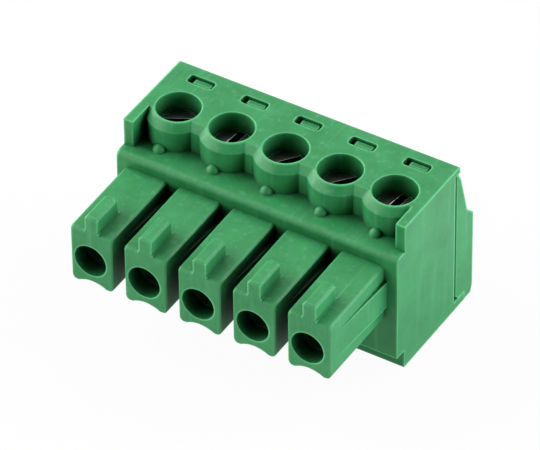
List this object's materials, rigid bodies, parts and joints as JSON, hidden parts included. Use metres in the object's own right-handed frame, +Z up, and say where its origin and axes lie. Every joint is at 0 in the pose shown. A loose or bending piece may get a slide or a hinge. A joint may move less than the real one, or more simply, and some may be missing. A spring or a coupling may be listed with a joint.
{
  "type": "pluggable terminal block",
  "caption": "Pluggable screw terminal block: a moulded housing with socket fingers, slotted clamp screws under round holes, and a wire entry cover at the back.",
  "frame": {"origin": "on the base, straight under the axis of the middle screw", "axes": "+X along the row of poles, +Y towards the wire entries, +Z up along the screws"},
  "size_m": [0.0198, 0.0153, 0.0111],
  "materials": {
    "moulded_plastic": "satin",
    "zinc_plated_steel": "dull zinc",
    "nickel_plated_steel": "nickel plated",
    "tinned_bronze": "tin plated"
  },
  "bodies": {
    "block": {"housing": "moulded_plastic", "wire_entry_cover": "moulded_plastic", "contact_1": "tinned_bronze", "contact_2": "tinned_bronze", "contact_3": "tinned_bronze", "contact_4": "tinned_bronze", "contact_5": "tinned_bronze"},
    "screw_1": {"clamp_screw_1": "zinc_plated_steel"},
    "cage_1": {"clamp_cage_1": "nickel_plated_steel"},
    "screw_2": {"clamp_screw_2": "zinc_plated_steel"},
    "cage_2": {"clamp_cage_2": "nickel_plated_steel"},
    "screw_3": {"clamp_screw_3": "zinc_plated_steel"},
    "cage_3": {"clamp_cage_3": "nickel_plated_steel"},
    "screw_4": {"clamp_screw_4": "zinc_plated_steel"},
    "cage_4": {"clamp_cage_4": "nickel_plated_steel"},
    "screw_5": {"clamp_screw_5": "zinc_plated_steel"},
    "cage_5": {"clamp_cage_5": "nickel_plated_steel"}
  },
  "joints": [
    {"name": "screw_1_turn", "type": "hinge", "parent": "block", "child": "screw_1", "pos_m": [-0.00762, 0, 0.00997], "axis": [0, 0, -1], "range_deg": [0, 1800]},
    {"name": "cage_1_lift", "type": "slide", "parent": "block", "child": "cage_1", "axis": [0, 0, 1], "range_m": [0, 0.002]},
    {"name": "screw_2_turn", "type": "hinge", "parent": "block", "child": "screw_2", "pos_m": [-0.00381, 0, 0.00997], "axis": [0, 0, -1], "range_deg": [0, 1800]},
    {"name": "cage_2_lift", "type": "slide", "parent": "block", "child": "cage_2", "axis": [0, 0, 1], "range_m": [0, 0.002]},
    {"name": "screw_3_turn", "type": "hinge", "parent": "block", "child": "screw_3", "pos_m": [0, 0, 0.00997], "axis": [0, 0, -1], "range_deg": [0, 1800]},
    {"name": "cage_3_lift", "type": "slide", "parent": "block", "child": "cage_3", "axis": [0, 0, 1], "range_m": [0, 0.002]},
    {"name": "screw_4_turn", "type": "hinge", "parent": "block", "child": "screw_4", "pos_m": [0.00381, 0, 0.00997], "axis": [0, 0, -1], "range_deg": [0, 1800]},
    {"name": "cage_4_lift", "type": "slide", "parent": "block", "child": "cage_4", "axis": [0, 0, 1], "range_m": [0, 0.002]},
    {"name": "screw_5_turn", "type": "hinge", "parent": "block", "child": "screw_5", "pos_m": [0.00762, 0, 0.00997], "axis": [0, 0, -1], "range_deg": [0, 1800]},
    {"name": "cage_5_lift", "type": "slide", "parent": "block", "child": "cage_5", "axis": [0, 0, 1], "range_m": [0, 0.002]}
  ],
  "couplings": [
    {"joint": "screw_1_turn", "follows": "cage_1_lift", "rad_per_m": 15708},
    {"joint": "screw_2_turn", "follows": "cage_2_lift", "rad_per_m": 15708},
    {"joint": "screw_3_turn", "follows": "cage_3_lift", "rad_per_m": 15708},
    {"joint": "screw_4_turn", "follows": "cage_4_lift", "rad_per_m": 15708},
    {"joint": "screw_5_turn", "follows": "cage_5_lift", "rad_per_m": 15708}
  ]
}
